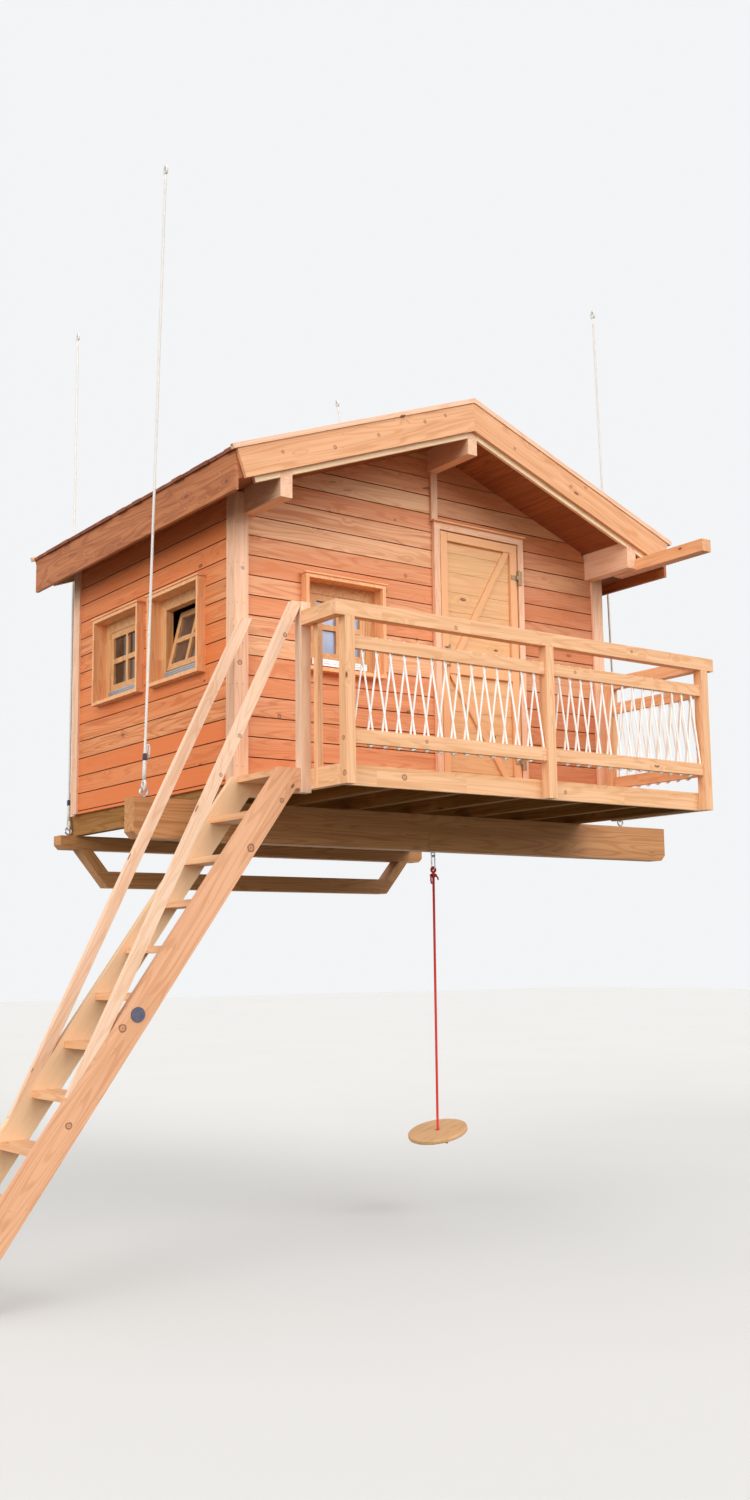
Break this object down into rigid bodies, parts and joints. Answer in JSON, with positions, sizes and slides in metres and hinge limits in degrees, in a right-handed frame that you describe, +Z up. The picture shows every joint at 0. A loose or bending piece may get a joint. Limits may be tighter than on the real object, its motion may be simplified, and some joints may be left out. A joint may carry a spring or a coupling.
{
  "type": "tree house",
  "caption": "Boarded gable-roof cabin hung in a tree on a cross beam, with a railed deck, a steep housed stair, hanging ropes and a round seat swing.",
  "frame": {"origin": "middle of the back face of the top chord of the frame that is bolted to the trunk", "axes": "+X to the right along the front wall, +Y from the front wall towards the trunk, +Z up"},
  "size_m": [6.3391, 4.3283, 7.1702],
  "materials": {
    "frame_timber": "satin",
    "deck_boards": "matte",
    "cladding": "satin",
    "pale_trim": "satin",
    "roof_timber": "satin",
    "shingle": "matte",
    "fascia": "satin",
    "window_wood": "satin",
    "glass": "gloss",
    "sill_metal": "satin",
    "door_wood": "satin",
    "ironwork": "satin",
    "rail_wood": "satin",
    "rope": "matte",
    "red_rope": "matte",
    "seat_wood": "satin"
  },
  "bodies": {
    "house": {"back_wall": "cladding", "barge_boards": "fascia", "cabin_floor": "deck_boards", "corner_boards": "pale_trim", "deck_boards": "deck_boards", "deck_rim": "frame_timber", "door_frame": "door_wood", "door_hinge_pins": "ironwork", "eye_bolts": "ironwork", "fascia_boards": "fascia", "floor_joists": "frame_timber", "frame_bottom_chord": "frame_timber", "frame_braces": "frame_timber", "frame_top_chord": "frame_timber", "front_beam_bottom": "frame_timber", "front_beam_top": "frame_timber", "front_wall_left": "cladding", "front_wall_over_door": "cladding", "front_wall_right": "cladding", "gable_trim": "pale_trim", "hanging_ropes": "rope", "left_wall": "cladding", "lower_rails": "rail_wood", "railing_posts": "rail_wood", "ridge_cap": "shingle", "right_wall": "cladding", "roof_beams": "roof_timber", "roof_slopes": "roof_timber", "rope_lacing_end": "rope", "rope_lacing_left": "rope", "rope_lacing_right": "rope", "shingles": "shingle", "side_arm": "roof_timber", "stair_handrails": "rail_wood", "stair_newel": "rail_wood", "stair_stringers": "rail_wood", "stair_treads": "deck_boards", "stringer_disc": "ironwork", "top_rails": "rail_wood", "verge_battens": "pale_trim", "verge_caps": "pale_trim", "weather_bars": "sill_metal", "window_casings": "window_wood", "window_frames": "window_wood", "window_panes": "glass", "window_sashes": "window_wood"},
    "door": {"door_leaf": "door_wood", "door_straps": "ironwork", "door_handle": "ironwork"},
    "swing_link": {"swing_link": "ironwork"},
    "swing": {"swing_knots": "red_rope", "swing_rope": "red_rope", "swing_seat": "seat_wood"}
  },
  "joints": [
    {"name": "door_hinge", "type": "hinge", "parent": "house", "child": "door", "pos_m": [0.781, -2.62, 1.1975], "axis": [0, 0, 1], "range_deg": [0, 110]},
    {"name": "link_swing", "type": "hinge", "parent": "house", "child": "swing_link", "pos_m": [0.207, -2.254, -0.1865], "axis": [1, 0, 0], "range_deg": [-35, 35]},
    {"name": "rope_swing", "type": "hinge", "parent": "swing_link", "child": "swing", "pos_m": [0.207, -2.254, -0.2785], "axis": [0, 1, 0], "range_deg": [-35, 35]}
  ]
}
